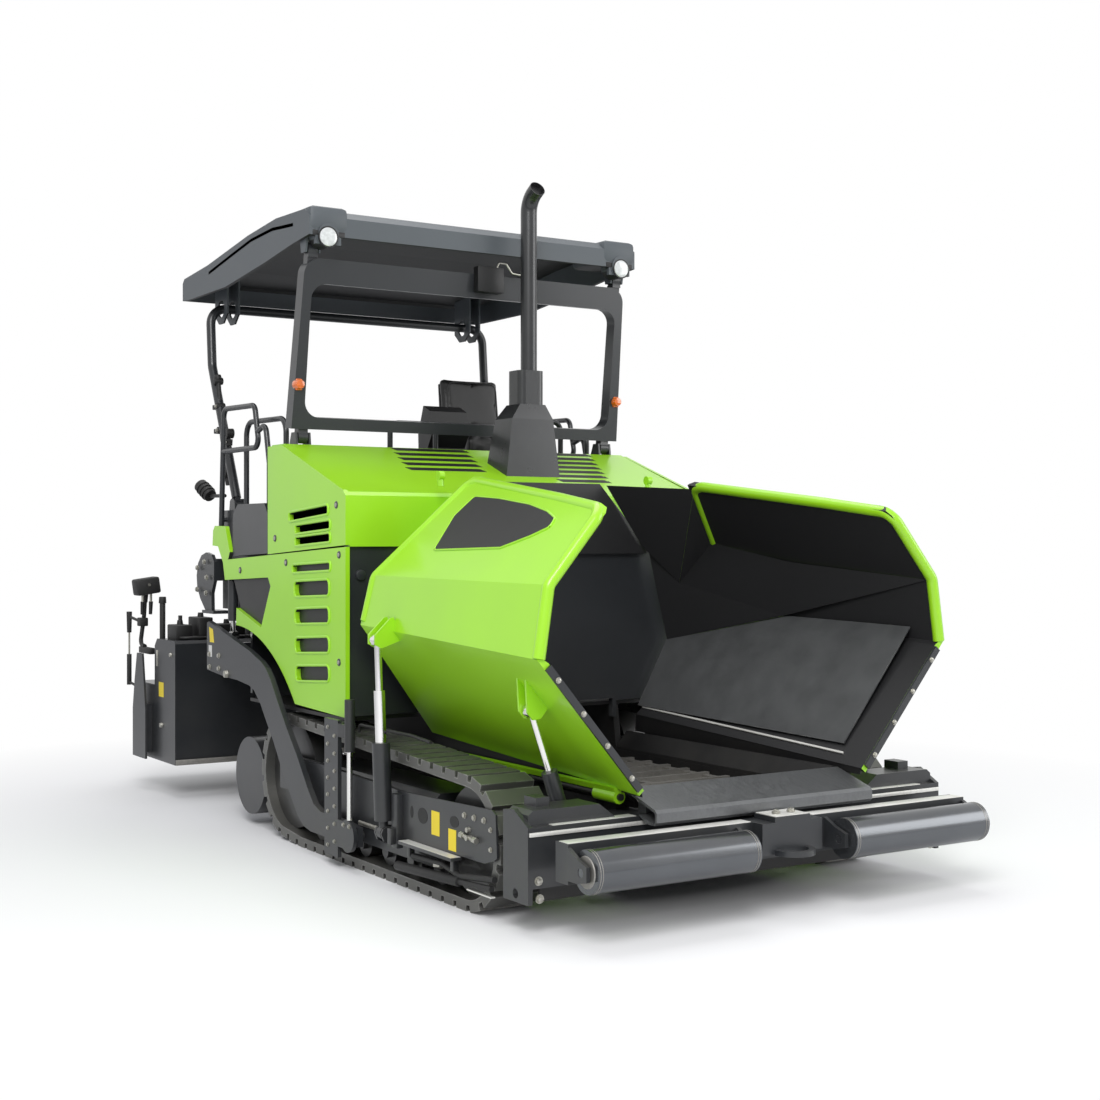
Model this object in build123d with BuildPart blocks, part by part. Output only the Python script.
from build123d import *
import math
import os

os.makedirs("parts", exist_ok=True)

# A tracked asphalt paver, in millimetres. It stands on its tracks at z = 0, +X is its left side, and +Y runs
# from the hopper at the front to the screed at the rear. The origin is on the ground under its middle.

# ---------------------------------------------------------------- driving dimensions
front_y = -2575.0  # front face of the bumper
running_gap = 6.0  # between a moving piece and its neighbour
seat_gap = 0.3  # between a piece and what it is bolted to, where the faces are curved

# tracks: wheels inside each loop as (distance behind the bumper's face, height, radius over the pads)
track_outer = 1210.0
pad_width = 290.0
pad_height = 30.0
pad_length = 92.0
pad_count = 50
belt_thickness = 26.0
idler = (620.0, 320.0, 320.0)
ground_wheel = (2500.0, 120.0, 120.0)
sprocket = (2720.0, 380.0, 360.0)

# bumper
bumper_half_width = 1250.0
bumper_depth = 210.0
bumper_bottom = 145.0
bumper_top = 484.0
housing_top = 552.0
stop_top = 592.0

# chassis
tunnel_half_width = 560.0
frame_wall = 40.0
frame_bottom = 240.0
hinge_x = 680.0
hinge_z = 556.0
hinge_pin_r = 16.0
deck_floor_z = 762.0

# wings
wing_front = -50.0
wing_wall = 34.0

# body
body_half = 1220.0
skin = 25.0
wall_y = 1930.0
wall_thickness = 40.0
wall_top = 1965.0
gate_z = 690.0
panel_bottom = 787.0
parting_front = 1708.0
hood_front = 1905.0
hood_brow_z = 2000.0
hood_rear = 2790.0
hood_rear_z = 2300.0

# auger and screed
auger_y = 3360.0
auger_z = 300.0
auger_r = 200.0
drum_r = 235.0
tow_point = (1700.0, 190.0)
arm_x = track_outer + 30.0
arm_thickness = 32.0
tow_pin_r = 22.0
screed_front = 4536.0
screed_rear = 5575.0
screed_bottom = 225.0
screed_top = 1060.0
screed_half = arm_x - 10.0

# canopy
hoop_foot = (2830.0, 2345.0)
hoop_head = (2690.0, 3430.0)
column_foot = (3880.0, 1930.0)
column_head = (4365.0, 3290.0)
roof_front = 2555.0
roof_rear = 4640.0


def st(distance):
    """Y of a station, measured back from the bumper's front face."""
    return front_y + distance


def yz(*points):
    """(Y, Z) points from (station, height) pairs."""
    return [(st(y), z) for y, z in points]


def side_plate(points, x, thickness, mode=Mode.ADD):
    """A plate with a (Y, Z) outline, from X = x over its thickness along +X."""
    with BuildSketch(Plane.YZ.offset(x)) as outline:
        with BuildLine():
            Polyline(*points, close=True)
        make_face()
    return extrude(outline.sketch, amount=thickness, mode=mode)


def cross_plate(points, y, thickness, mode=Mode.ADD):
    """A plate with an (X, Z) outline, from Y = y over its thickness along +Y."""
    with BuildSketch(Plane.XZ.offset(-y)) as outline:
        with BuildLine():
            Polyline(*points, close=True)
        make_face()
    return extrude(outline.sketch, amount=-thickness, mode=mode)


def block(x, y, z, mode=Mode.ADD):
    """A box given by its (low, high) extents along X, Y and Z."""
    with Locations(((x[0] + x[1]) / 2, (y[0] + y[1]) / 2, (z[0] + z[1]) / 2)):
        return Box(x[1] - x[0], y[1] - y[0], z[1] - z[0], mode=mode)


def rod(start, end, radius, mode=Mode.ADD):
    """A round bar from one point to another."""
    axis = Vector(*end) - Vector(*start)
    with BuildSketch(Plane(origin=start, z_dir=axis)) as outline:
        Circle(radius)
    return extrude(outline.sketch, amount=axis.length, mode=mode)


def bent_tube(points, radius, bend):
    """A round tube's outside along a path of straight runs joined by equal bends."""
    with BuildLine() as path:
        FilletPolyline(*points, radius=bend)
    start = path.line @ 0
    with BuildSketch(Plane(origin=start, z_dir=path.line % 0)) as outline:
        Circle(radius)
    return sweep(outline.sketch, path=path.line)


def belt_runs(wheels, shrink):
    """Straight runs of a belt round wheels listed anticlockwise, as (start, end, normal angle)."""
    runs = []
    for here, there in zip(wheels, wheels[1:] + wheels[:1]):
        here_r = here[2] - shrink
        there_r = there[2] - shrink
        heading = math.atan2(there[1] - here[1], there[0] - here[0])
        span = math.hypot(there[0] - here[0], there[1] - here[1])
        normal = heading - math.acos((here_r - there_r) / span)
        out_y, out_z = math.cos(normal), math.sin(normal)
        start = (st(here[0]) + here_r * out_y, here[1] + here_r * out_z)
        end = (st(there[0]) + there_r * out_y, there[1] + there_r * out_z)
        runs.append((start, end, normal))
    return runs


def belt_wire(wheels, shrink):
    """Closed outline of a belt round the wheels, inset from their outer radii, in a side sketch."""
    runs = belt_runs(wheels, shrink)
    with BuildLine() as outline:
        for index, (start, end, normal) in enumerate(runs):
            Line(start, end)
            wheel = wheels[(index + 1) % len(wheels)]
            next_start, _, next_normal = runs[(index + 1) % len(runs)]
            turn = (next_normal - normal) % (2 * math.pi)
            middle = normal + turn / 2
            radius = wheel[2] - shrink
            crown = (st(wheel[0]) + radius * math.cos(middle), wheel[1] + radius * math.sin(middle))
            ThreePointArc(end, crown, next_start)
    return outline.wires()[0]


pieces = {}


def mirrored(piece):
    """The same piece on the machine's other side."""
    with BuildPart() as other:
        mirror(piece.part, about=Plane.YZ)
    return other


# ---------------------------------------------------------------- tracks
track_inner = track_outer - pad_width
wheels = [ground_wheel, sprocket, idler]
inset = pad_height + belt_thickness

with BuildPart() as track_left:
    pad_line = belt_wire(wheels, pad_height)
    with BuildSketch(Plane.YZ.offset(track_inner)):
        with BuildLine():
            add(pad_line)
        make_face()
        for index in range(pad_count):
            place = pad_line.position_at(index / pad_count)
            heading = pad_line.tangent_at(index / pad_count)
            angle = math.degrees(math.atan2(heading.Y, heading.X))
            with Locations(Location((place.X, place.Y, 0), (0, 0, angle))):
                Rectangle(pad_length, 2 * pad_height)
    extrude(amount=pad_width)
    with BuildSketch(Plane.YZ.offset(track_inner)):
        with BuildLine():
            add(belt_wire(wheels, inset))
        make_face()
    extrude(amount=pad_width, mode=Mode.SUBTRACT)
track_right = mirrored(track_left)
pieces["track_left"] = track_left
pieces["track_right"] = track_right

# Wheels inside the loops: idler, sprocket and ground rollers, on stub axles held by the frame's side plates.
frame_outer = track_outer - 5.0
frame_inner = track_inner + 5.0
side_wall = 28.0
wheel_inner = frame_inner + side_wall + seat_gap
wheel_outer = frame_outer - side_wall - seat_gap
tread_inset = 25.0
roller_stations = [960.0 + 280.0 * step for step in range(6)]
roller_r = 76.0
axle_r = 34.0

with BuildPart() as track_wheels:
    tread = [(idler[0], idler[1], idler[2] - inset), (sprocket[0], sprocket[1], sprocket[2] - inset)]
    tread += [(station, inset + seat_gap + roller_r, roller_r) for station in roller_stations]
    for station, height, radius in tread:
        with BuildSketch(Plane.YZ.offset(wheel_inner + tread_inset)):
            with Locations((st(station), height)):
                Circle(radius - seat_gap)
        extrude(amount=wheel_outer - wheel_inner - 2 * tread_inset)
        with BuildSketch(Plane.YZ.offset(wheel_inner)):
            with Locations((st(station), height)):
                Circle(axle_r)
        extrude(amount=wheel_outer - wheel_inner)
    mirror(about=Plane.YZ)
pieces["track_wheels"] = track_wheels

# Track frames: a box beam between the runs, with side plates that hold the wheels.
beam_bottom = 250.0
beam_top = 500.0
beam_bevel = 45.0
with BuildPart() as track_frames:
    plate_outline = yz((530, 250), (530, 400), (640, 460), (2360, beam_top), (2820, beam_top), (2820, 300),
                       (2600, 300), (2440, 150), (880, 150), (760, beam_bottom))
    side_plate(plate_outline, frame_inner, side_wall)
    side_plate(plate_outline, frame_outer - side_wall, side_wall)
    for station in (1318.0, 1390.0):
        cross_plate([(frame_outer - 5, 200), (frame_outer - 5, 290), (1265, 296), (1290, 285), (1300, 262), (1285, 225),
                     (1240, 200)],
                    st(station), 12)
    rod((1265, st(1318), 262), (1265, st(1402), 262), 12)
    cross_plate([(frame_inner, beam_bottom), (frame_outer, beam_bottom), (frame_outer, beam_top - beam_bevel),
                 (frame_outer - beam_bevel, beam_top), (frame_inner, beam_top)], st(960), 1360.0)
    # the cover that reaches forward over the idler, clear of the pads
    side_plate(yz((305, 300), (318, 495), (350, 512), (1285, 480), (1285, 252), (420, 258), (330, 283)),
               track_outer + running_gap, 10)
    side_plate(yz((970, 262), (970, 470), (1275, 470), (1275, 262)), frame_outer - 2, 15)
    mirror(about=Plane.YZ)
pieces["track_frames"] = track_frames

# ---------------------------------------------------------------- chassis
frame_x = tunnel_half_width + frame_wall
tunnel_roof_z = 800.0
conveyor_z = 470.0
cross_stations = [1150.0, 2250.0]
with BuildPart() as main_frame:
    frame_outline = yz((bumper_depth, frame_bottom), (bumper_depth, hinge_z - 60), (wall_y, hinge_z - 60),
                       (wall_y + wall_thickness, deck_floor_z), (3150, deck_floor_z), (3150, frame_bottom))
    side_plate(frame_outline, tunnel_half_width, frame_wall)
    with BuildSketch(Plane.YZ.offset(frame_x)) as tubes:
        with Locations(*[(st(station), 340) for station in cross_stations]):
            Rectangle(180, 150)
    extrude(tubes.sketch, amount=frame_inner - frame_x)
    block((590, hinge_x - 40), (st(bumper_depth), st(wall_y)), (hinge_z - 110, hinge_z - 40))
    for station in (306.0, 870.0, 1086.0, 1836.0):
        cross_plate([(600, 446), (650, 446), (698, 545), (690, 575), (668, 576), (600, 516)], st(station), 24)
    rod((hinge_x, st(105), hinge_z), (hinge_x, st(1860), hinge_z), hinge_pin_r)
    mirror(about=Plane.YZ)
pieces["main_frame"] = main_frame

with BuildPart() as belly_plate:
    block((-tunnel_half_width, tunnel_half_width), (st(bumper_depth), st(3150)), (frame_bottom, frame_bottom + 30))
    for station in (700.0, 1500.0, 2600.0):
        block((-tunnel_half_width, tunnel_half_width), (st(station), st(station + 60)),
              (frame_bottom, conveyor_z - 40))
pieces["belly_plate"] = belly_plate

with BuildPart() as engine_floor:
    block((-body_half + skin, body_half - skin), (st(wall_y + wall_thickness), st(3300)),
          (deck_floor_z, deck_floor_z + 20))
pieces["engine_floor"] = engine_floor

flight_pitch = 175.0
flight_count = 16
conveyor_front = bumper_depth + 6.0
with BuildPart() as conveyor:
    block((-tunnel_half_width + 5, tunnel_half_width - 5), (st(conveyor_front), st(3140)), (conveyor_z - 40, conveyor_z - 20))
    for x in (-470.0, -45.0, 45.0, 470.0):
        block((x - 22, x + 22), (st(conveyor_front), st(3140)), (conveyor_z - 20, conveyor_z))
    for index in range(flight_count):
        station = conveyor_front + 40.0 + index * flight_pitch
        block((-500, 500), (st(station), st(station + 30)), (conveyor_z - 20, conveyor_z + 12))
pieces["conveyor"] = conveyor

# ---------------------------------------------------------------- bumper and apron
end_thickness = 24.0
housing_inner = 760.0
housing_slope = 90.0
stop_x = 1105.0
lashing_r = 22.0
yaw_station = -70.0
yaw_pin_r = 26.0
lashing_z = 182.0
with BuildPart() as front_bumper:
    block((-bumper_half_width + end_thickness, bumper_half_width - end_thickness),
          (st(0), st(bumper_depth)), (bumper_bottom + 70, bumper_top))
    cross_plate([(housing_inner, bumper_top), (bumper_half_width - end_thickness, bumper_top),
                 (bumper_half_width - end_thickness, housing_top - 20),
                 (bumper_half_width - end_thickness - 25, housing_top),
                 (housing_inner + housing_slope, housing_top)], st(35), bumper_depth - 35)
    side_plate(yz((0, bumper_bottom), (0, bumper_top), (125, housing_top), (bumper_depth, housing_top - 12),
                  (bumper_depth, bumper_bottom)), bumper_half_width - end_thickness, end_thickness)
    rod((bumper_half_width - end_thickness - 1, st(105), lashing_z), (bumper_half_width + 1, st(105), lashing_z), lashing_r,
        mode=Mode.SUBTRACT)
    block((stop_x - 35, stop_x + 35), (st(110), st(bumper_depth)), (housing_top, stop_top))
    for station in (213.0, 285.0):
        cross_plate([(825, 280), (905, 280), (905, 350), (885, 378), (845, 378), (825, 350)], st(station), 12)
    block((825, 905), (st(bumper_depth), st(297)), (280, 310))
    rod((865, st(213), 350), (865, st(297), 350), 12)
    mirror(about=Plane.YZ)
    for height in (266.0, 411.0):
        block((-60, 60), (st(yaw_station - 45), st(0)), (height, height + 28))
    rod((0, st(yaw_station), 266), (0, st(yaw_station), 439), yaw_pin_r)
pieces["front_bumper"] = front_bumper

apron_half = 655.0
with BuildPart() as apron:
    side_plate(yz((-120, 455), (-135, 470), (-135, 512), (-120, 527), (115, 598), (118, 586), (-112, 516),
                  (-122, 508), (-122, 470), (-112, 462), (0, 490), (0, 484), (-60, 455)), -apron_half, 2 * apron_half)
    side_plate(yz((30, bumper_top), (30, 562), (90, 583), (90, bumper_top)), -apron_half + 60, 2 * apron_half - 120)
pieces["apron"] = apron

# ---------------------------------------------------------------- push rollers
bar_y = (-228.0, -130.0)
bar_half = 1190.0
roller_axis = (-330.0, 340.0)
push_roller_r = 95.0
roller_inner = 285.0
roller_outer = 1165.0
axle_end_r = 20.0
with BuildPart() as push_bar:
    block((-bar_half, bar_half), (st(bar_y[0]), st(bar_y[1])), (270, 445))
    block((-180, 180), (st(-300), st(bar_y[0])), (300, 445))
    block((-105, 105), (st(-300), st(-150)), (445, 470))
    with BuildSketch(Plane.XY.offset(300)) as nose:
        with BuildLine():
            Polyline((-110, st(bar_y[1])), (-60, st(-12)), (60, st(-12)), (110, st(bar_y[1])), close=True)
        make_face()
    extrude(nose.sketch, amount=105)
    rod((0, st(yaw_station), 299), (0, st(yaw_station), 406), yaw_pin_r + seat_gap, mode=Mode.SUBTRACT)
    with BuildSketch(Plane.XY.offset(295)) as hook:
        with Locations((0, st(-300))):
            Circle(105)
            Circle(75, mode=Mode.SUBTRACT)
            with Locations((0, 105)):
                Rectangle(230, 210, mode=Mode.SUBTRACT)
    extrude(hook.sketch, amount=25)
    for x in (-roller_outer - 30, -roller_inner + 10, roller_inner - 30, roller_outer + 10):
        side_plate(yz((bar_y[0], 290), (bar_y[0], 430), (roller_axis[0] + 30, 395), (roller_axis[0] - 45, 370),
                      (roller_axis[0] - 45, 305), (roller_axis[0] + 30, 290)), x, 20)
    rod((-bar_half - 10, st(roller_axis[0]), roller_axis[1]), (bar_half + 10, st(roller_axis[0]), roller_axis[1]),
        axle_end_r + seat_gap, mode=Mode.SUBTRACT)
pieces["push_bar"] = push_bar

with BuildPart() as roller_left:
    with BuildSketch(Plane.YZ.offset(roller_inner)):
        with Locations((st(roller_axis[0]), roller_axis[1])):
            Circle(push_roller_r)
    extrude(amount=roller_outer - roller_inner)
    rod((roller_inner - 28, st(roller_axis[0]), roller_axis[1]), (roller_outer + 28, st(roller_axis[0]), roller_axis[1]),
        axle_end_r)
roller_right = mirrored(roller_left)
pieces["roller_left"] = roller_left
pieces["roller_right"] = roller_right

# ---------------------------------------------------------------- hopper
with BuildPart() as hopper_wall:
    cross_plate([(-1195, 790), (-tunnel_half_width, 790), (-tunnel_half_width, gate_z), (tunnel_half_width, gate_z),
                 (tunnel_half_width, 790), (1195, 790), (1195, wall_top), (-1195, wall_top)], st(wall_y), wall_thickness)
    for low in (-535.0, 35.0):
        block((low, low + 500), (st(wall_y) - 1, st(wall_y + wall_thickness) + 1), (485, tunnel_roof_z),
              mode=Mode.SUBTRACT)
pieces["hopper_wall"] = hopper_wall

# Sloping plates between the conveyor and the wings' hinges.
with BuildPart() as hopper_floor:
    cross_plate([(tunnel_half_width + 2, hinge_z - 60), (tunnel_half_width + 26, hinge_z - 60),
                 (tunnel_half_width + 32, hinge_z - 30), (hinge_x - 42, hinge_z + 11), (hinge_x - 42, hinge_z + 46),
                 (hinge_x - 50, hinge_z + 46), (tunnel_half_width + 2, hinge_z - 44)], st(125), wall_y - 130.0)
    mirror(about=Plane.YZ)
pieces["hopper_floor"] = hopper_floor

# Wing sections, front and rear, as (X, Z) from the hinge edge out and over to the rim.
wing_rear = 1910.0
section_front = [(690, 585), (1200, 1180), (1233, 1220), (1183, 1545), (880, 1905)]
section_rear = [(700, 680), (1195, 1262), (1233, 1305), (1183, 1557), (672, 2135)]
wing_side = yz((wing_front, 500), (wing_front, 1860), (-10, 1905), (250, 1965), (600, 2030), (1000, 2075),
               (1330, 2095), (1410, 2062), (1668, 1557), (1695, 1290), (1905, 640), (1905, 500))


def inset_section(section, wall):
    """The section's inner side: each corner moved in by the wall."""
    inner = []
    for index, (x, z) in enumerate(section):
        before = section[max(index - 1, 0)]
        after = section[min(index + 1, len(section) - 1)]
        along = Vector(after[0] - before[0], after[1] - before[1]).normalized()
        inner.append((x - wall * along.Y, z + wall * along.X))
    return inner


def ring(center, station, width, outer_r, bore_r):
    """An eye or knuckle with its axis along Y, starting at a station."""
    with BuildSketch(Plane.XZ.offset(-st(station))) as outline:
        with Locations(center):
            Circle(outer_r)
            if bore_r:
                Circle(bore_r, mode=Mode.SUBTRACT)
    return extrude(outline.sketch, amount=-width)


# Hopper cylinders: foot pin and rod eye as (X, Z), with the station of the plane that each swings in.
front_ram = {"foot": (865.0, 350.0), "eye": (1075.0, 965.0), "station": 255.0}
rear_ram = {"foot": (1265.0, 262.0), "eye": (1300.0, 1235.0), "station": 1360.0}
lug_gap = 30.0  # half the space between a pair of lugs
lug_thickness = 12.0
ram_pin_r = 12.0
eye_bore = 20.0  # leaves the wing's pin free, because the rod only follows the swing
eye_outer = 33.0

with BuildPart() as wing_left:
    for station in (wing_front, wing_rear):
        section = section_front if station == wing_front else section_rear
        with BuildSketch(Plane.XZ.offset(-st(station))):
            with BuildLine():
                Polyline(*section, *reversed(inset_section(section, wing_wall)), close=True)
            make_face()
    loft(ruled=True)
    with BuildSketch(Plane.YZ.offset(400)) as side:
        with BuildLine():
            Polyline(*wing_side, close=True)
        make_face()
    extrude(side.sketch, amount=900, mode=Mode.INTERSECT)
    for station in (120.0, 900.0, 1650.0):
        ring((hinge_x, hinge_z), station, 180, 32, hinge_pin_r + seat_gap)
    with BuildSketch(Plane.XZ.offset(-st(120))) as strip:
        with BuildLine():
            Polyline((684, 580), (700, 574), (712, 600), (696, 606), close=True)
        make_face()
    extrude(strip.sketch, amount=-1700)
    for side in (-1, 1):
        low = front_ram["station"] + side * lug_gap - (lug_thickness if side < 0 else 0)
        cross_plate([(1010, 975), (1130, 1120), (1120, 960), (1090, 925), (1050, 930)], st(low), lug_thickness)
        low = rear_ram["station"] + side * lug_gap - (lug_thickness if side < 0 else 0)
        cross_plate([(1180, 1235), (1232, 1350), (1250, 1345), (1335, 1262), (1335, 1215), (1300, 1195)],
                    st(low), lug_thickness)
    for ram in (front_ram, rear_ram):
        ring(ram["eye"], ram["station"] - lug_gap, 2 * lug_gap, ram_pin_r, 0)
wing_right = mirrored(wing_left)
pieces["wing_left"] = wing_left
pieces["wing_right"] = wing_right


# The bolted strip along each wing's front edge.
with BuildPart() as flap_left:
    cross_plate([(705, 602), (1195, 1174), (1169, 1196), (679, 624)],
                st(wing_front - 14), 13.7)
flap_right = mirrored(flap_left)
pieces["flap_left"] = flap_left
pieces["flap_right"] = flap_right


def ram_parts(ram, barrel_length, barrel_r, bore_r, stages):
    """Barrel and rod of a hopper cylinder; stages are (start, end, radius) along it from the foot pin."""
    foot = Vector(ram["foot"][0], st(ram["station"]), ram["foot"][1])
    eye = Vector(ram["eye"][0], st(ram["station"]), ram["eye"][1])
    along = (eye - foot).normalized()
    ring_width = 2 * lug_gap - 12
    with BuildPart() as barrel:
        rod(foot + along * 62, foot + along * barrel_length, barrel_r)
        rod(foot + along * 20, foot + along * 63, 23)
        ring(ram["foot"], ram["station"] - ring_width / 2, ring_width, eye_outer, 0)
        rod(foot + along * 75, foot + along * (barrel_length + 1), bore_r, mode=Mode.SUBTRACT)
        with BuildSketch(Plane.XZ.offset(-st(ram["station"] - ring_width))) as hole:
            with Locations(ram["foot"]):
                Circle(ram_pin_r + seat_gap)
        extrude(hole.sketch, amount=-2 * ring_width, mode=Mode.SUBTRACT)
    with BuildPart() as stem:
        for start, end, radius in stages:
            rod(foot + along * start, foot + along * end, radius)
        ring(ram["eye"], ram["station"] - ring_width / 2, ring_width, eye_outer, 0)
        with BuildSketch(Plane.XZ.offset(-st(ram["station"] - ring_width))) as hole:
            with Locations(ram["eye"]):
                Circle(eye_bore)
        extrude(hole.sketch, amount=-2 * ring_width, mode=Mode.SUBTRACT)
    return barrel, stem


front_barrel_length = 350.0
rear_barrel_length = 456.0
front_barrel_left, front_rod_left = ram_parts(front_ram, front_barrel_length, 38, 16 + seat_gap, [(270, 625, 16)])
rear_barrel_left, rear_rod_left = ram_parts(rear_ram, rear_barrel_length, 46, 28.5 + seat_gap, [(395, 720, 28.5), (715, 945, 18.5)])
for node, piece in (("front_barrel", front_barrel_left), ("front_rod", front_rod_left),
                    ("rear_barrel", rear_barrel_left), ("rear_rod", rear_rod_left)):
    pieces[node + "_left"] = piece
    pieces[node + "_right"] = mirrored(piece)

# ---------------------------------------------------------------- body panels
parting_rear = 1620.0
panel_rear = 3550.0


def parting(station):
    """Height of the line between the lower and upper side panels."""
    return parting_front + (parting_rear - parting_front) * (station - hood_front) / (panel_rear - hood_front)


# Lower panel's slots as (front station, rear station, height at the front, height at the rear, slot height).
lower_slots = [(2100.0, 2600.0, 1597.0, 1576.0, 36.0), (2115.0, 2573.0, 1481.0, 1461.0, 78.0),
               (2115.0, 2565.0, 1329.0, 1306.0, 76.0), (2115.0, 2559.0, 1168.0, 1141.0, 76.0),
               (2115.0, 2550.0, 1011.0, 982.0, 76.0)]
upper_slots = [(2128.0, 2650.0, 1908.0, 1872.0, 42.0), (2102.0, 2560.0, 1825.0, 1800.0, 40.0),
               (2102.0, 2560.0, 1755.0, 1732.0, 40.0)]


def cut_slots(slots):
    """Cuts the slots in the open side sketch."""
    for front, rear, front_z, rear_z, height in slots:
        tilt = math.degrees(math.atan2(rear_z - front_z, rear - front))
        with Locations((st((front + rear) / 2), (front_z + rear_z) / 2)):
            RectangleRounded(rear - front, height, height / 3, rotation=tilt, mode=Mode.SUBTRACT)


with BuildPart() as side_panels:
    with BuildSketch(Plane.YZ.offset(body_half - skin)) as outline:
        with BuildLine():
            Polyline(*yz((3463, 1321), (3072, 1219), (2928, 1468), (2967, 1519), (3656, 1490), (3690, 1600),
                         (3690, 1614), (hood_front, parting_front - 5), (hood_front, panel_bottom), (2573, 806)))
            ThreePointArc((st(2573), 806), (st(2960), 1096), (st(3467), 1216))
            Line((st(3467), 1216), (st(3463), 1321))
        make_face()
        cut_slots(lower_slots)
    extrude(outline.sketch, amount=skin)
    # the hook that runs up behind the side box
    side_plate(yz((3690, 1600), (3600, 1621), (3575, 1665), (3650, 1826), (3830, 1830), (3860, 1800), (3870, 1705),
                  (3775, 1700)), body_half - skin, skin)
    mirror(about=Plane.YZ)
pieces["side_panels"] = side_panels

with BuildPart() as mesh_panels:
    side_plate(yz((3590, 1528), (3001, 1543), (3001, 1281), (3050, 1190), (3440, 1300)), body_half - skin - 8, 8)
    side_plate(yz((2060, 930), (2060, 1640), (2660, 1610), (2660, 900)), body_half - skin - 8, 8)
    mirror(about=Plane.YZ)
pieces["mesh_panels"] = mesh_panels

with BuildPart() as upper_panels:
    with BuildSketch(Plane.YZ.offset(body_half - skin)) as outline:
        with BuildLine():
            Polyline(*yz((2970, parting(2970) + 5), (2970, 2290), (2760, 2290), (hood_front + 30, 2010),
                         (hood_front, 1980), (hood_front, parting_front + 5)), close=True)
        make_face()
        cut_slots(upper_slots)
    extrude(outline.sketch, amount=skin)
    mirror(about=Plane.YZ)
pieces["upper_panels"] = upper_panels

hood_half = body_half - skin
engine_top = 1750.0
stack_x = 240.0
stack_station = 2400.0
stack_r = 50.0
left_louvers = [(2350.0 + 97.0 * row, -590.0 + 25.0 * row, 500.0) for row in range(5)]
right_louvers = [(2190.0 + 92.0 * row, 350.0 + 38.0 * row, 352.0) for row in range(7)]
hood_slope = (hood_rear_z - hood_brow_z) / (hood_rear - hood_front - 20)


def hood_z(station):
    """Height of the hood's sloping top at a station."""
    return hood_brow_z + hood_slope * (station - hood_front - 20)


with BuildPart() as hood:
    side_plate(yz((hood_front, 1705), (hood_front, hood_brow_z - 20), (hood_front + 20, hood_brow_z),
                  (hood_rear, hood_rear_z), (2965, hood_rear_z), (2965, hood_rear_z - skin),
                  (hood_rear, hood_rear_z - skin), (hood_front + skin, hood_brow_z - skin), (hood_front + skin, 1705)),
               -hood_half, 2 * hood_half)
    rod((stack_x, st(stack_station), 2000), (stack_x, st(stack_station), 2300), stack_r + 8, mode=Mode.SUBTRACT)
    for station, low, length in left_louvers + right_louvers:
        height = hood_z(station)
        block((low, low + length), (st(station), st(station + 32)), (height - 60, height + 60), mode=Mode.SUBTRACT)
pieces["hood"] = hood

with BuildPart() as engine_block:
    block((-420, 420), (st(2050), st(2960)), (900, engine_top))
    block((-250, 250), (st(2150), st(2900)), (deck_floor_z + 20, 900))
pieces["engine_block"] = engine_block

# Operator platform behind the hood, with its side boxes.
platform_z = 1900.0
platform_rear = 3950.0
deck_half = body_half - 100.0
with BuildPart() as platform:
    block((-deck_half, deck_half), (st(2975), st(platform_rear)), (platform_z, platform_z + 30))
    cross_plate([(-hood_half, 1300), (-hood_half, 2270), (hood_half, 2270), (hood_half, 1300)], st(2975), 25)
    cross_plate([(-deck_half + 20, deck_floor_z + 25), (-deck_half + 20, platform_z), (deck_half - 20, platform_z),
                 (deck_half - 20, deck_floor_z + 25)], st(3500), 30)
    for x in (-deck_half, deck_half - 40):
        side_plate(yz((3000, 1300), (3000, platform_z), (platform_rear, platform_z), (platform_rear, 1300)), x, 40)
    block((-deck_half + 20, deck_half - 20), (st(3530), st(platform_rear)), (1300, 1330))
pieces["platform"] = platform

with BuildPart() as side_boxes:
    side_plate(yz((3010, 1660), (3010, 1900), (3060, 1960), (3480, 1960), (3560, 1900), (3560, 1640)),
               deck_half, body_half - 15 - deck_half)
    mirror(about=Plane.YZ)
pieces["side_boxes"] = side_boxes

# ---------------------------------------------------------------- exhaust
with BuildPart() as exhaust_stack:
    bent_tube([(stack_x, st(stack_station), engine_top), (stack_x, st(stack_station), 3780),
               (stack_x + 70, st(stack_station) + 10, 3900)], stack_r, 90)
pieces["exhaust_stack"] = exhaust_stack

with BuildPart() as exhaust_guard:
    sections = ((hood_z(stack_station - 130), 5, 380, 130), (2470, 62, 352, 100), (2560, 130, 308, 80))
    for below, above in zip(sections, sections[1:]):
        for height, low, high, depth in (below, above):
            with BuildSketch(Plane.XY.offset(height)):
                with Locations(((low + high) / 2, st(stack_station))):
                    Rectangle(high - low, 2 * depth)
        loft(ruled=True)
    with BuildSketch(Plane.XY.offset(2560)) as sleeve:
        with Locations((219, st(stack_station))):
            RectangleRounded(178, 160, 40)
    extrude(sleeve.sketch, amount=205)
    side_plate(yz((2200, 1900), (2200, hood_z(2200)), (2600, hood_z(2600)), (2600, 1900)), -50, 500, mode=Mode.SUBTRACT)
    rod((stack_x, st(stack_station), 2100), (stack_x, st(stack_station), 2800), stack_r + 8, mode=Mode.SUBTRACT)
pieces["exhaust_guard"] = exhaust_guard

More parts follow.
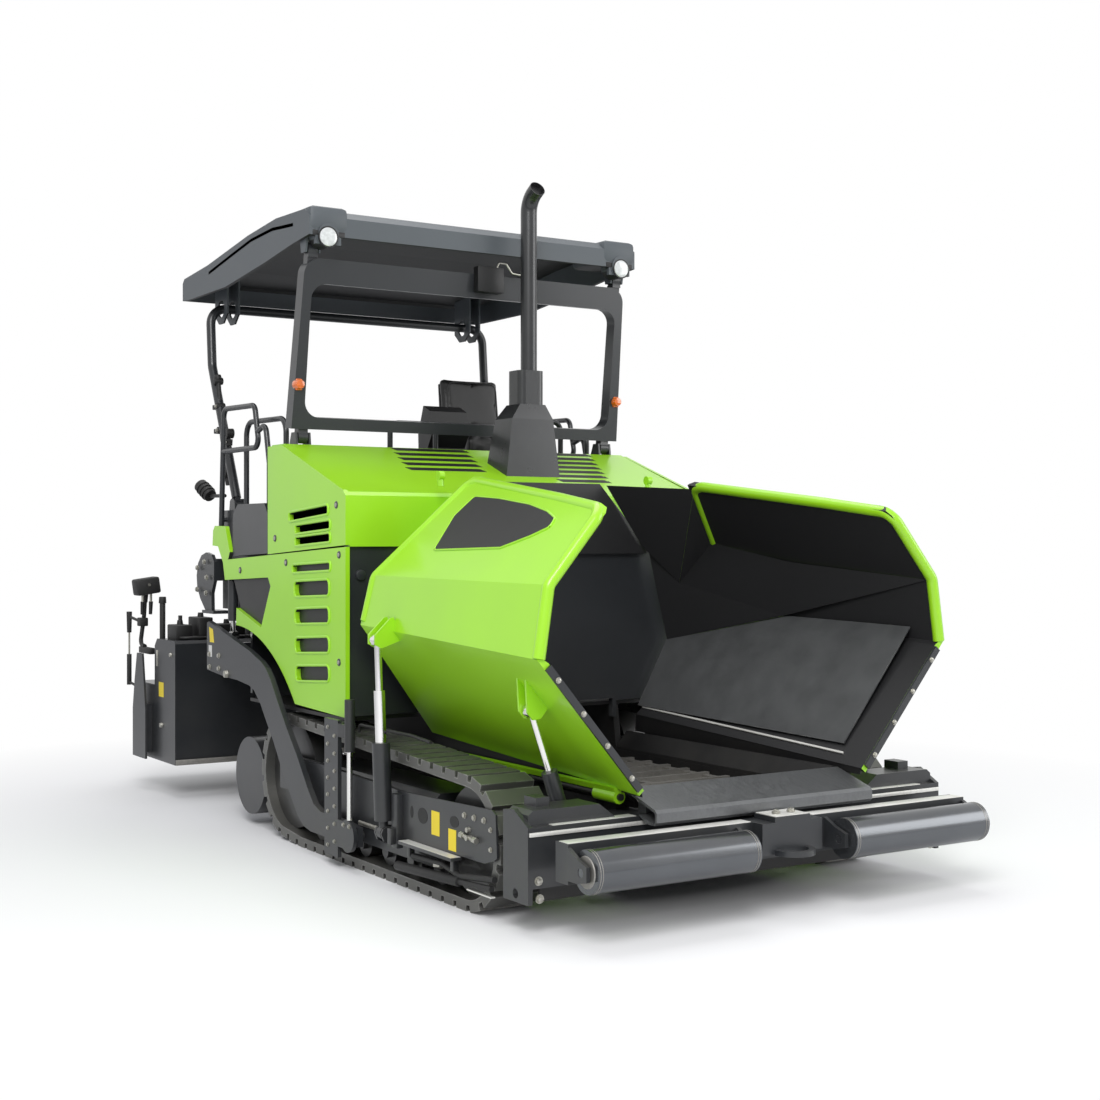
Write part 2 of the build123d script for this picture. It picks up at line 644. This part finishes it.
# ---------------------------------------------------------------- seat and console
seat_x = 525.0
seat_station = 3480.0
with BuildPart() as seat_base:
    block((seat_x - 200, seat_x + 200), (st(3280), st(3680)), (platform_z + 30, 2290))
pieces["seat_base"] = seat_base
with BuildPart() as seat:
    block((seat_x - 240, seat_x + 240), (st(3230), st(3640)), (2290.3, 2430))
    side_plate(yz((3560, 2425), (3570, 2600), (3600, 2660), (3590, 2820), (3640, 2850), (3700, 2830), (3710, 2640),
                  (3680, 2425)), seat_x - 255, 510)
    for x in (seat_x - 300, seat_x + 245):
        side_plate(yz((3290, 2500), (3290, 2560), (3600, 2560), (3640, 2500)), x, 55)
        side_plate(yz((3560, 2425), (3560, 2510), (3640, 2510), (3640, 2425)), x + (0 if x > seat_x else 45), 15)
pieces["seat"] = seat
with BuildPart() as console:
    side_plate(yz((3140, platform_z + 30), (3140, 2330), (3080, 2420), (3110, 2560), (3200, 2600), (3270, 2420),
                  (3250, platform_z + 30)), -60, 270)
pieces["console"] = console

# ---------------------------------------------------------------- handrails
rail_r = 17.0
with BuildPart() as handrails:
    rail_x = deck_half + 30
    bent_tube([(rail_x, st(3905), 1700), (rail_x, st(3850), 2575), (rail_x, st(3340), 2565), (rail_x, st(3270), 2305),
               (rail_x, st(3852), 2305)], rail_r, 55)
    for station, height in ((3901.0, 1760.0), (3894.0, 1870.0)):
        rod((deck_half, st(station), height), (rail_x, st(station), height), 14)
    bent_tube([(rail_x, st(3300), 2400), (rail_x, st(3170), 2440), (rail_x, st(3110), 2200),
               (rail_x, st(3110), 1960)], rail_r, 50)
    bent_tube([(deck_half - 40, st(3646), platform_z + 30), (deck_half - 40, st(3646), 2480),
               (deck_half - 40, st(3022), 2470), (deck_half - 40, st(3022), platform_z + 30)], rail_r, 90)
    mirror(about=Plane.YZ)
    for low, high, top in ((-381.0, -60.0, 2470.0), (560.0, 880.0, 2520.0)):
        bent_tube([(low, st(3035), 1930), (low, st(3035), top), (high, st(3035), top), (high, st(3035), 1930)],
                  rail_r, 60)
pieces["handrails"] = handrails

# ---------------------------------------------------------------- tow guides and lift brackets
guide_x = arm_x + arm_thickness + running_gap
with BuildPart() as tow_guides:
    side_plate(yz((1831, 60), (1831, 786), (1998, 786), (1998, 60)), guide_x, 22)
    side_plate(yz((1720, 120), (1720, 262), (1840, 262), (1840, 120)), guide_x, 22)
    rod((guide_x, st(1722), tow_point[1]), (guide_x + 22, st(1722), tow_point[1]), 85)
    block((frame_outer, guide_x + 22), (st(1850), st(1950)), (740, 770))
    block((body_half - skin - 10, max(frame_outer, body_half - skin) + 5), (st(1850), st(2060)), (740, deck_floor_z))
    rod((track_outer + 6, st(tow_point[0]), tow_point[1]), (guide_x, st(tow_point[0]), tow_point[1]), tow_pin_r)
    mirror(about=Plane.YZ)
pieces["tow_guides"] = tow_guides

# The tow points' levelling rams, clamped to the guides and drawn as one piece each.
level_x = guide_x + 11.0
level_z = tow_point[1] + 85.0 + seat_gap
with BuildPart() as levelling_rams:
    rod((level_x, st(1708), level_z), (level_x, st(1708), 640), 15)
    rod((level_x, st(1708), 630), (level_x, st(1708), 905), 27)
    block((guide_x, guide_x + 22), (st(1708), st(1831)), (700, 770))
    mirror(about=Plane.YZ)
pieces["levelling_rams"] = levelling_rams

lift_pin = (3680.0, 1500.0)
lift_eye = (3680.0, 1130.0)
lift_x = deck_half + 37.0
lock_x = deck_half + 72.0
with BuildPart() as lift_brackets:
    rod((deck_half, st(lift_pin[0]), lift_pin[1]), (lift_x + 28, st(lift_pin[0]), lift_pin[1]), 16)
    rod((deck_half, st(lift_pin[0]), lift_pin[1]), (lift_x - 31, st(lift_pin[0]), lift_pin[1]), 34)
    rod((lift_x + 20, st(lift_pin[0]), lift_pin[1]), (lift_x + 30, st(lift_pin[0]), lift_pin[1]), 19)
    # transport lock plates at the platform's rear corners
    side_plate(yz((3905, 1645), (4000, 1660), (4085, 1640), (4145, 1590), (4172, 1510), (4160, 1430), (4105, 1360),
                  (4010, 1285), (3900, 1285), (3905, 1400), (3860, 1480), (3860, 1600)), lock_x, 22)
    side_plate(yz((3830, 1290), (3830, 1270), (4030, 1270), (4030, 1290)), deck_half, 110)
    side_plate(yz((3860, 1480), (3860, 1620), (3945, 1620), (3945, 1480)), deck_half, lock_x - deck_half)
    mirror(about=Plane.YZ)
pieces["lift_brackets"] = lift_brackets

# ---------------------------------------------------------------- augers
with BuildPart() as auger_frame:
    block((-870, 870), (st(3150), st(3290)), (600, 750))
    block((-60, 60), (st(3150), st(3420)), (auger_z - 110, 600))
    for x in (830.0, ):
        with BuildSketch(Plane.YZ.offset(x)) as drum:
            with Locations((st(auger_y), auger_z)):
                Circle(drum_r)
                Circle(drum_r - 12, mode=Mode.SUBTRACT)
        extrude(drum.sketch, amount=340)
        rod((x + 328, st(auger_y), auger_z), (x + 340, st(auger_y), auger_z), drum_r - 5)
        side_plate(yz((3150, 600), (3150, 750), (3290, 750), (auger_y + 100, 560), (auger_y + 60, auger_z + drum_r - 8),
                      (auger_y - 60, auger_z + drum_r - 8)), x, 40)
    mirror(about=Plane.YZ)
    rod((-61, st(auger_y), auger_z), (61, st(auger_y), auger_z), 38 + seat_gap, mode=Mode.SUBTRACT)
pieces["auger_frame"] = auger_frame

auger_inner = 70.0
auger_outer = 1120.0
flight_turn = 210.0
flight_thickness = 10.0
with BuildPart() as auger_left:
    # helical flight, swept from the shaft out to its rim
    axis_start = Vector(auger_inner, st(auger_y), auger_z)
    with BuildLine() as spine:
        Helix(pitch=flight_turn, height=auger_outer - auger_inner - 20, radius=34, center=axis_start,
              direction=(1, 0, 0))
    outward = ((spine.line @ 0) - axis_start).normalized()
    with BuildSketch(Plane(origin=spine.line @ 0, x_dir=outward, z_dir=Vector(1, 0, 0).cross(outward))) as blade:
        with Locations(((auger_r - 34) / 2, 0)):
            Rectangle(auger_r - 34, flight_thickness)
    sweep(blade.sketch, path=spine.line, is_frenet=True)
    rod((3, st(auger_y), auger_z), (auger_outer, st(auger_y), auger_z), 38)
auger_right = mirrored(auger_left)
pieces["auger_left"] = auger_left
pieces["auger_right"] = auger_right

# ---------------------------------------------------------------- screed and tow arms
arm_link_x = 930.0
with BuildPart() as tow_arms:
    with BuildSketch(Plane.YZ.offset(arm_x)) as outline:
        with BuildLine():
            Polyline(*yz((1650, 140), (1650, 240), (1740, 250), (2110, 262), (2200, 290), (2280, 365), (2426, 530),
                         (2565, 665), (2696, 805), (2805, 930), (2875, 990), (2954, 1027), (3134, 1080), (3454, 1150),
                         (3800, 1226), (3830, 1215), (3830, 921), (3537, 897), (3318, 890), (3130, 872), (3056, 850),
                         (2954, 775), (2855, 670), (2756, 570), (2648, 440), (2519, 300), (2420, 200), (2340, 152),
                         (2240, 135), (1760, 135)), close=True)
        make_face()
        with Locations((st(tow_point[0]), tow_point[1])):
            Circle(tow_pin_r + seat_gap, mode=Mode.SUBTRACT)
    extrude(outline.sketch, amount=arm_thickness)
    rod((lift_x - 26, st(lift_pin[0]), lift_eye[1]), (arm_x, st(lift_pin[0]), lift_eye[1]), 14)
    # the arm's inboard end, which carries the screed
    block((arm_link_x, arm_x), (st(3775), st(3830)), (925, 1085))
    side_plate(yz((3775, 900), (3775, 1085), (screed_front, 1040), (screed_front, 880)), arm_link_x, 40)
    mirror(about=Plane.YZ)
pieces["tow_arms"] = tow_arms

screed_box_rear = 4950.0
with BuildPart() as screed:
    side_plate(yz((screed_front, screed_bottom), (screed_front, 1040), (screed_front + 20, 1060),
                  (screed_box_rear - 50, 1060), (screed_box_rear, 1010), (screed_box_rear, screed_bottom)),
               -screed_half, 2 * screed_half)
    side_plate(yz((screed_front + 20, screed_bottom - 1), (screed_front + 20, 1030), (screed_front + 30, 1040),
                  (screed_box_rear - 60, 1040), (screed_box_rear - 20, 1000), (screed_box_rear - 20, screed_bottom - 1)),
               -screed_half + 20, 2 * screed_half - 40, mode=Mode.SUBTRACT)
    block((-screed_half, screed_half), (st(screed_front), st(screed_box_rear)), (screed_bottom, screed_bottom + 25))
    block((-280, 280), (st(screed_box_rear), st(screed_rear)), (780, 805))
    for x in (-250.0, 230.0):
        side_plate(yz((screed_box_rear, 750), (screed_box_rear, 780), (5500, 780), (5500, 765)), x, 20)
pieces["screed"] = screed

extension_top = 740.0
extension_rear = 5330.0
gate_x = screed_half + 46.0
with BuildPart() as extension_left:
    block((20, screed_half), (st(screed_box_rear) + seat_gap, st(extension_rear)), (screed_bottom, extension_top))
    block((40, screed_half - 20), (st(screed_box_rear + 20), st(extension_rear - 20)),
          (screed_bottom + 20, extension_top - 12), mode=Mode.SUBTRACT)
    block((20, screed_half - 90), (st(extension_rear), st(screed_rear)), (470, 495))
    post_y = st(screed_box_rear + 80)
    rod((340, post_y, extension_top - 6), (340, post_y, 1000), 16)
    rod((screed_half - 60, post_y, extension_top - 6), (screed_half - 60, post_y, 1000), 16)
    rod((324, post_y, 1000), (screed_half - 44, post_y, 1000), 16)
with BuildPart() as end_gate_left:
    gate_front = screed_box_rear + 20
    gate_rear = extension_rear - 90
    side_plate(yz((gate_front, screed_bottom), (gate_front, 560), (gate_front + 70, 950), (gate_rear - 90, 950),
                  (gate_rear - 40, 760), (gate_rear, 560), (gate_rear, screed_bottom)), gate_x, 14)
    block((screed_half, gate_x), (st(gate_front + 40), st(gate_rear - 120)), (screed_bottom + 40, 600))
pieces["extension_left"] = extension_left
pieces["extension_right"] = mirrored(extension_left)
pieces["end_gate_left"] = end_gate_left
pieces["end_gate_right"] = mirrored(end_gate_left)

lift_barrel_length = 268.0
lift_top = Vector(lift_x, st(lift_pin[0]), lift_pin[1])
lift_low = Vector(lift_x, st(lift_pin[0]), lift_eye[1])
down = Vector(0, 0, -1)
with BuildPart() as lift_barrel_left:
    rod(lift_top + down * 20, lift_top + down * lift_barrel_length, 31)
    rod(lift_top + Vector(-26, 0, 0), lift_top + Vector(18, 0, 0), 32)
    rod(lift_top + down * 38, lift_top + down * (lift_barrel_length + 1), 16 + seat_gap, mode=Mode.SUBTRACT)
    rod(lift_top + Vector(-40, 0, 0), lift_top + Vector(40, 0, 0), 16 + seat_gap, mode=Mode.SUBTRACT)
with BuildPart() as lift_rod_left:
    rod(lift_top + down * 96, lift_low + down * -28, 16)
    rod(lift_low + Vector(-26, 0, 0), lift_low + Vector(18, 0, 0), 36)
    rod(lift_low + Vector(-40, 0, 0), lift_low + Vector(40, 0, 0), 26, mode=Mode.SUBTRACT)
pieces["lift_barrel_left"] = lift_barrel_left
pieces["lift_barrel_right"] = mirrored(lift_barrel_left)
pieces["lift_rod_left"] = lift_rod_left
pieces["lift_rod_right"] = mirrored(lift_rod_left)

# ---------------------------------------------------------------- canopy
hoop_outer = 1153.0
hoop_post = 165.0
hoop_depth = 90.0
hoop_lean = math.degrees(math.atan2(hoop_foot[0] - hoop_head[0], hoop_head[1] - hoop_foot[1]))
hoop_height = math.hypot(hoop_foot[0] - hoop_head[0], hoop_head[1] - hoop_foot[1])
hoop_plane = Plane(origin=(0, st(hoop_foot[0]), hoop_foot[1]), x_dir=(1, 0, 0),
                   z_dir=(0, -math.cos(math.radians(hoop_lean)), -math.sin(math.radians(hoop_lean))))
canopy_pin_r = 12.0
saddle_r = 58.0  # leaves the rear frame's tube free through the fold
with BuildPart() as front_hoop:
    with BuildSketch(hoop_plane) as frame_sketch:
        with BuildLine():
            Polyline((-1153, 50), (-1120, hoop_height - 50), (1120, hoop_height - 50), (1153, 50), close=True)
        make_face()
        with BuildLine():
            FilletPolyline((-1076, 120), (-1070, hoop_height - 195), (1070, hoop_height - 195), (1076, 120),
                           radius=95, close=True)
        make_face(mode=Mode.SUBTRACT)
    extrude(frame_sketch.sketch, amount=hoop_depth / 2, both=True)
    for x in (1040.0, -1100.0):
        for y, z in (hoop_foot, hoop_head):
            rod((x, st(y), z), (x + 60, st(y), z), 38)
            reach = 60 if z < 3000 else -60
            side_plate(yz((y - 30, z), (y - 34, z + reach), (y + 20, z + reach), (y + 30, z)), x, 60)
            rod((x - 1, st(y), z), (x + 61, st(y), z), canopy_pin_r + seat_gap, mode=Mode.SUBTRACT)
pieces["front_hoop"] = front_hoop

with BuildPart() as canopy_brackets:
    for x in (1034.0, 1106.0):
        side_plate(yz((2790, hood_rear_z), (2800, 2372), (2860, 2372), (2890, hood_rear_z)), x - 12 if x < 1100 else x, 12)
    rod((1022, st(hoop_foot[0]), hoop_foot[1]), (1118, st(hoop_foot[0]), hoop_foot[1]), canopy_pin_r)
    for x in (1010.0, 1072.0):
        side_plate(yz((3830, 1930), (3840, 1990), (3860, 2005), (3900, 2005), (3920, 1990), (3930, 1930)), x, 12)
    rod((1010, st(column_foot[0]), column_foot[1] + 35), (1084, st(column_foot[0]), column_foot[1] + 35), canopy_pin_r)
    mirror(about=Plane.YZ)
pieces["canopy_brackets"] = canopy_brackets

with BuildPart() as roof:
    side_plate(yz((roof_front, 3490), (roof_front, 3600), (roof_front + 60, 3645), (3040, 3658), (3480, 3625),
                  (4170, 3540), (roof_rear - 30, 3508), (roof_rear, 3480), (roof_rear, 3363), (4500, 3357), (3860, 3357),
                  (3210, 3420), (2790, 3470)), -1140, 2280)
    side_plate(yz((roof_front + 25, 3300), (roof_front + 25, 3590), (roof_front + 75, 3620), (3030, 3633),
                  (3470, 3600), (4160, 3515), (roof_rear - 40, 3484), (roof_rear - 25, 3465), (roof_rear - 25, 3300)),
               -1115, 2230, mode=Mode.SUBTRACT)
    for x in (1022.0, 1106.0):
        side_plate(yz((hoop_head[0] - 50, 3625), (hoop_head[0] - 50, 3505), (hoop_head[0] - 30, hoop_head[1] - 25), (hoop_head[0] + 30, hoop_head[1] - 25),
                      (hoop_head[0] + 50, 3505), (hoop_head[0] + 50, 3625)), x, 12)
    rod((1022, st(hoop_head[0]), hoop_head[1]), (1118, st(hoop_head[0]), hoop_head[1]), canopy_pin_r)
    for x in (880.0, 960.0):
        with BuildSketch(Plane.YZ.offset(x)) as saddle:
            with BuildLine():
                Polyline(*yz((column_head[0] - 110, 3515), (column_head[0] - 110, column_head[1] - 40),
                             (column_head[0] - 40, column_head[1] - 100), (column_head[0] + 40, column_head[1] - 100),
                             (column_head[0] + 110, column_head[1] - 40), (column_head[0] + 110, 3495)), close=True)
            make_face()
            with Locations((st(column_head[0]), column_head[1])):
                Circle(saddle_r, mode=Mode.SUBTRACT)
        extrude(saddle.sketch, amount=12)
    # round lamps in the front corners
    rod((1023, st(roof_front - 12), 3500), (1023, st(roof_front + 40), 3500), 62)
    block((940, 1100), (st(roof_front), st(roof_front + 25)), (3440, 3500))
    mirror(about=Plane.YZ)
pieces["roof"] = roof

frame_x = 1047.0
with BuildPart() as rear_frame:
    head = (st(column_head[0]), column_head[1])
    knee = (st(column_head[0] - 35), 2900)
    foot = (st(column_foot[0]) + 18, 2010)
    bent_tube([(-frame_x, *foot), (-frame_x, *knee), (-frame_x, *head), (frame_x, *head), (frame_x, *knee),
               (frame_x, *foot)], 30, 110)
    for x in (1023.0, -1071.0):
        rod((x, st(column_foot[0]), column_foot[1] + 35), (x + 48, st(column_foot[0]), column_foot[1] + 35), 34)
        rod((x - 1, st(column_foot[0]), column_foot[1] + 35), (x + 49, st(column_foot[0]), column_foot[1] + 35),
            canopy_pin_r + seat_gap, mode=Mode.SUBTRACT)
        side_plate(yz((3862, 1990), (3898, 1975), (3935, 2050), (3890, 2050)), x + 9, 30)
pieces["rear_frame"] = rear_frame


for node, piece in pieces.items():
    piece.part.label = node
    export_step(piece.part, f"parts/{node}.step")
